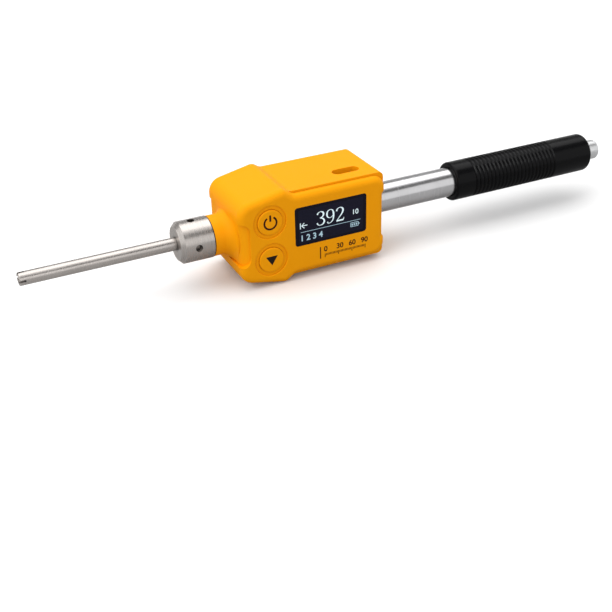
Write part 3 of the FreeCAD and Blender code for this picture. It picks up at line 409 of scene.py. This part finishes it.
def smooth_line(points, steps=8):
    """Points of a Catmull-Rom curve through (x, z, width) points."""
    ends = [points[0]] + list(points) + [points[-1]]
    line = []
    for index in range(1, len(ends) - 2):
        before, start, end, after = (Vector(ends[index + step]) for step in (-1, 0, 1, 2))
        for step in range(steps):
            part = step / steps
            line.append(0.5 * ((2 * start) + (end - before) * part
                               + (2 * before - 5 * start + 4 * end - after) * part ** 2
                               + (3 * start - before - 3 * end + after) * part ** 3))
    line.append(Vector(points[-1]))
    return [tuple(point) for point in line]


def ribbon(points):
    """The outline of a line of changing width through (x, z, width) points."""
    left, right = [], []
    for index, (x, z, width) in enumerate(points):
        before = points[max(index - 1, 0)]
        after = points[min(index + 1, len(points) - 1)]
        along = Vector((after[0] - before[0], after[1] - before[1])).normalized()
        side = Vector((-along.y, along.x)) * width / 2
        left.append((x + side.x, z + side.y))
        right.append((x - side.x, z - side.y))
    return left + list(reversed(right))


# Serif digits drawn as strokes of changing width in a cell 0.62 wide and 1 high
THIN = 0.035
THICK = 0.105
DIGITS = {
    "3": [[(0.08, 0.80, 0.10), (0.13, 0.92, 0.06), (0.28, 0.985, THIN), (0.43, 0.92, 0.09),
           (0.475, 0.76, THICK), (0.40, 0.60, 0.07), (0.24, 0.535, THIN)],
          [(0.24, 0.535, THIN), (0.43, 0.46, 0.08), (0.52, 0.27, THICK), (0.44, 0.08, 0.08),
           (0.27, 0.015, THIN), (0.12, 0.07, 0.05), (0.06, 0.20, 0.10)]],
    "2": [[(0.07, 0.76, 0.10), (0.12, 0.90, 0.06), (0.28, 0.985, THIN), (0.45, 0.90, 0.09),
           (0.49, 0.72, THICK), (0.40, 0.50, 0.08), (0.22, 0.25, 0.05), (0.07, 0.05, THIN)],
          [(0.06, 0.045, 0.09), (0.30, 0.045, 0.09), (0.50, 0.045, 0.09)],
          [(0.50, 0.03, 0.05), (0.535, 0.12, 0.04), (0.545, 0.23, 0.025)]],
    "9": [[(0.50, 0.68, THICK), (0.44, 0.90, 0.07), (0.29, 0.985, THIN), (0.12, 0.89, 0.07),
           (0.07, 0.68, THICK), (0.12, 0.48, 0.07), (0.27, 0.40, THIN), (0.43, 0.49, 0.04),
           (0.50, 0.64, 0.06)],
          [(0.50, 0.70, THICK), (0.495, 0.40, 0.09), (0.42, 0.15, 0.06), (0.25, 0.015, THIN),
           (0.13, 0.045, 0.05), (0.10, 0.13, 0.08)]],
}


def segments(name, lines, material):
    """Lit segments on the display, each a line of (x, z, width) points."""
    plate(name, [ribbon(line) for line in lines], WINDOW_FACE, material, "housing")


def show_panel():
    """The panel, a shade bluer than the lens round it."""
    half_width = 11.7
    low = -3.2
    high = 8.5
    outline = [(-half_width, low), (half_width, low), (half_width, high), (-half_width, high)]
    plate("display_area", [outline], WINDOW_FACE, PANEL_DARK, "housing", PRINT_HEIGHT / 2)


def show_number():
    """The reading in serif digits."""
    first = -5.4
    step = 3.5
    low = 1.65
    height = 4.9
    width = 5.6
    lines = []
    for index, digit in enumerate("392"):
        left = first + step * index
        for stroke in DIGITS[digit]:
            lines.append([(left + x * width, low + z * height, line * width)
                          for x, z, line in smooth_line(stroke)])
    segments("reading_number", lines, LIT)


def show_arrow():
    """An arrow that points at an upright bar."""
    stroke = 0.28
    height = 2.9
    bar = -11.1
    bar_reach = 1.05
    shaft_start = -10.7
    shaft_end = -8.6
    tip = -10.65
    barb = -9.7
    barb_reach = 0.9
    head = [(barb, height + barb_reach, stroke), (tip, height, stroke),
            (barb, height - barb_reach, stroke)]
    lines = [upright_line(bar, height - bar_reach, height + bar_reach, stroke),
             level_line(height, shaft_start, shaft_end, stroke), head]
    segments("reading_arrow", lines, LIT)


def show_cell():
    """A cell symbol: its case, its pole and three bars of charge."""
    left = 7.2
    right = 10.0
    low = -1.5
    high = -0.1
    case = 0.2
    pole = 0.3
    pole_inset = 0.45
    charge = 0.5
    charge_inset = 0.35
    charge_start = 0.55
    charge_step = 0.8
    lines = [level_line(low, left, right, case), upright_line(right, low, high, case),
             level_line(high, right, left, case), upright_line(left, high, low, case),
             upright_line(right + pole, low + pole_inset, high - pole_inset, pole)]
    for index in range(3):
        lines.append(upright_line(left + charge_start + charge_step * index,
                                  low + charge_inset, high - charge_inset, charge))
    segments("reading_cell", lines, LIT_DIM)


def show_reading():
    """The lit content of the display: plain numbers, a line, an arrow and a cell symbol."""
    show_panel()
    show_number()
    segments("reading_line", [level_line(0.62, start=-11.0, end=10.8, width=0.16)], LIT_DIM)
    show_arrow()
    show_cell()
    text_piece("reading_small", "10", x=7.6, z=2.9, size=2.5, face=WINDOW_FACE,
               material=LIT, body="housing", bold=SLIM)
    text_piece("reading_row", "1 2 3 4", x=-11.3, z=-2.5, size=2.9, face=WINDOW_FACE,
               material=LIT_DIM, body="housing")


def key_face(node):
    """The middle of a key's front."""
    low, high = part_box(node)
    return Vector(((low.x + high.x) / 2, low.y, (low.z + high.z) / 2))


def print_keys():
    """The keys' symbols: a ring with a stem in its opening, and a triangle that points down."""
    stroke = 0.62
    ring_radius = 2.1
    ring_height = -0.1
    up = 90
    half_opening = 32
    ring = arc(0.0, ring_height, ring_radius, up + half_opening, up + 360 - half_opening, stroke)
    stem = upright_line(0.0, 0.45, 2.6, stroke)
    plate("power_symbol", [ribbon(ring), ribbon(stem)], key_face("power_button"), INK_MAROON,
          "power_key")
    half_width = 2.05
    top = 1.35
    tip = -1.85
    triangle = [(-half_width, top), (half_width, top), (0.0, tip)]
    plate("down_symbol", [triangle], key_face("down_button"), INK_BLACK, "down_key")


def print_housing():
    """Print on the housing below the window: a bar and a plain numbered scale."""
    bar = upright_line(-4.1, start=-6.2, end=-10.45, width=0.36)
    plate("print_bar", [ribbon(bar)], HOUSING_FACE, INK_MAROON, "housing")
    tick_start = -2.4
    tick_step = 0.5
    tick_top = -8.9
    tick_count = 31
    long_every = 10
    ticks = []
    for index in range(tick_count):
        length = 1.4 if index % long_every == 0 else 0.8
        ticks.append(ribbon(upright_line(tick_start + tick_step * index, tick_top,
                                         tick_top - length, width=0.24)))
    plate("print_scale", ticks, HOUSING_FACE, INK_MAROON, "housing")
    number_start = -2.8
    number_step = 4.6
    for index, words in enumerate(("0", "30", "60", "90")):
        text_piece("print_number_%d" % index, words, x=number_start + number_step * index,
                   z=-8.1, size=2.6, face=HOUSING_FACE, material=INK_MAROON, body="housing")


def wire_loops(build, start, length, radius, wire, turns):
    """Loops of points round the wire of a spring that lies along X."""
    steps = turns * STEPS_PER_TURN
    angles = [math.tau * side / WIRE_SIDES for side in range(WIRE_SIDES)]
    loops = []
    for step in range(steps + 1):
        turn = math.tau * step / STEPS_PER_TURN
        out = Vector((0.0, math.cos(turn), math.sin(turn)))
        along = Vector(((length - wire) / steps * STEPS_PER_TURN, 0.0, 0.0))
        along += math.tau * radius * Vector((0.0, -math.sin(turn), math.cos(turn)))
        across = out.cross(along.normalized())
        centre = Vector((start + wire / 2 + (length - wire) * step / steps, 0.0, 0.0)) + radius * out
        loops.append([build.verts.new(centre + WIRE_THINNED * wire / 2
                                      * (math.cos(angle) * out + math.sin(angle) * across))
                      for angle in angles])
    return loops


def coil_spring(node, wire, turns, body):
    """A round-wire spring in place of its node."""
    low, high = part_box(node)
    length = high.x - low.x
    build = bmesh.new()
    loops = wire_loops(build, low.x, length, high.y - wire / 2, wire, turns)
    for first, second in zip(loops, loops[1:]):
        bridge(build, first, second)
    build.faces.new(loops[0])
    build.faces.new(loops[-1])
    mesh = made_mesh(node + "_coil", build)
    for face in mesh.polygons:
        face.use_smooth = len(face.vertices) == 4
    piece = add_piece(node + "_coil", mesh, MATERIALS["spring_steel"], body)
    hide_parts(node)
    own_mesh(piece)


def fit_springs():
    """The loading spring on the housing and the button spring on the grip."""
    coil_spring("loading_spring", LOADING_WIRE, LOADING_TURNS, "housing")
    coil_spring("button_spring", BUTTON_WIRE, BUTTON_TURNS, "grip")


def aim(item, place, roll=0.0):
    """Puts a lamp or card at a place and turns it to face the object's middle."""
    item.location = place
    facing = (Vector(MIDDLE) - Vector(place)).to_track_quat("-Z", "Y")
    item.rotation_euler = (facing @ Quaternion((0, 0, 1), roll)).to_euler()


def lamp(name, place, size, level, roll=0.0):
    """A soft box that lights the object's middle at a level, where 1 shows a colour as written."""
    distance = (Vector(place) - Vector(MIDDLE)).length
    data = bpy.data.lights.new(name, "AREA")
    data.shape = "RECTANGLE"
    data.size, data.size_y = size
    data.energy = level * (math.pi * distance) ** 2
    item = bpy.data.objects.new(name, data)
    bpy.context.collection.objects.link(item)
    aim(item, place, roll)


def card(name, place, size, grey, lying=False):
    """A card that only shows in reflections, as studio flags do; it faces the object or lies."""
    bpy.ops.mesh.primitive_plane_add(size=1.0)
    item = bpy.context.object
    item.name = name
    item.scale = (*size, 1.0)
    if lying:
        item.location = place
    else:
        aim(item, place)
    nodes = Nodes(name)
    mottle = nodes.noise(2.0, detail=1.0)
    nodes.feed("Base Color", nodes.ramp(mottle, grey * 0.9, grey, start=0.0, end=1.0))
    nodes.hold(Roughness=1.0, Specular_IOR_Level=0.0)
    item.data.materials.append(nodes.material)
    item.visible_camera = False
    item.visible_diffuse = False
    item.visible_shadow = False


def seen_directly(tree):
    """1 for what the camera, a mirror or a glass sees, 0 for light that falls on the object."""
    path = tree.nodes.new("ShaderNodeLightPath")
    total = path.outputs["Is Camera Ray"]
    for ray in ("Is Glossy Ray", "Is Transmission Ray"):
        larger = tree.nodes.new("ShaderNodeMath")
        larger.operation = "MAXIMUM"
        tree.links.new(total, larger.inputs[0])
        tree.links.new(path.outputs[ray], larger.inputs[1])
        total = larger.outputs[0]
    return total


def floor_material():
    """A pale floor that returns less light to the object than it shows, and fades to white."""
    nodes = Nodes("floor_white")
    speckle = nodes.noise(30.0, detail=2.0)
    mix = nodes.add("ShaderNodeMix", data_type="RGBA")
    nodes.link(seen_directly(nodes.tree), mix.inputs["Factor"])
    nodes.link(nodes.ramp(speckle, *FLOOR_RETURNED, start=0.0, end=1.0), mix.inputs["A"])
    nodes.link(nodes.ramp(speckle, *FLOOR_SEEN, start=0.0, end=1.0), mix.inputs["B"])
    nodes.feed("Base Color", mix.outputs["Result"])
    nodes.hold(Roughness=0.9, Specular_IOR_Level=0.2)
    away = nodes.add("ShaderNodeVectorMath", operation="LENGTH")
    nodes.link(nodes.place, away.inputs[0])
    distance = nodes.ramp(away.outputs["Value"], 0.0, 1.0, start=FADE_START, end=FADE_END)
    white = nodes.add("ShaderNodeEmission")
    blend = nodes.add("ShaderNodeMixShader")
    nodes.link(nodes.times(distance, seen_directly(nodes.tree)), blend.inputs["Fac"])
    nodes.link(nodes.shader.outputs["BSDF"], blend.inputs[1])
    nodes.link(white.outputs["Emission"], blend.inputs[2])
    nodes.link(blend.outputs["Shader"], nodes.tree.nodes["Material Output"].inputs["Surface"])
    return nodes.material


def set_floor(height):
    """The floor that the object lies on."""
    bpy.ops.mesh.primitive_plane_add(size=FLOOR_SIZE, location=(*MIDDLE[:2], height))
    floor = bpy.context.object
    floor.name = "floor"
    floor.data.materials.append(floor_material())


def set_world():
    """Even studio light, white where it is seen."""
    world = bpy.data.worlds.new("studio")
    bpy.context.scene.world = world
    world.use_nodes = True
    tree = world.node_tree
    tree.nodes.clear()
    output = tree.nodes.new("ShaderNodeOutputWorld")
    mix = tree.nodes.new("ShaderNodeMixShader")
    tree.links.new(seen_directly(tree), mix.inputs["Fac"])
    for socket, strength in ((1, WORLD_LEVEL), (2, 1.0)):
        background = tree.nodes.new("ShaderNodeBackground")
        background.inputs["Color"].default_value = (1.0, 1.0, 1.0, 1.0)
        background.inputs["Strength"].default_value = strength
        tree.links.new(background.outputs["Background"], mix.inputs[socket])
    tree.links.new(mix.outputs["Shader"], output.inputs["Surface"])


def set_stage():
    """Floor, world, lamps and the cards that shape the steel's reflections."""
    floor_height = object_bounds()[0][2]
    set_floor(floor_height)
    set_world()
    lamp("key_lamp", place=(0.05, 0.18, 0.8), size=(1.9, 0.8), level=0.86)
    lamp("front_lamp", place=(-0.25, -0.8, 0.4), size=(0.9, 0.09), level=0.045)
    lamp("strip_lamp", place=(-0.4, -0.17, 0.43), size=(0.5, 0.05), level=0.18,
         roll=math.radians(-35))
    card("upper_flag", place=(0.35, -0.33, 0.5), size=(1.8, 0.23), grey=0.3)
    card("back_card", place=(0.2, 0.6, 0.33), size=(1.8, 0.5), grey=0.55)
    card("low_card", place=(0.2, 0.0, floor_height + CARD_LIFT), size=(1.8, 1.3), grey=0.42,
         lying=True)


set_camera()
dress_frame()
show_reading()
print_keys()
print_housing()
fit_springs()
set_stage()
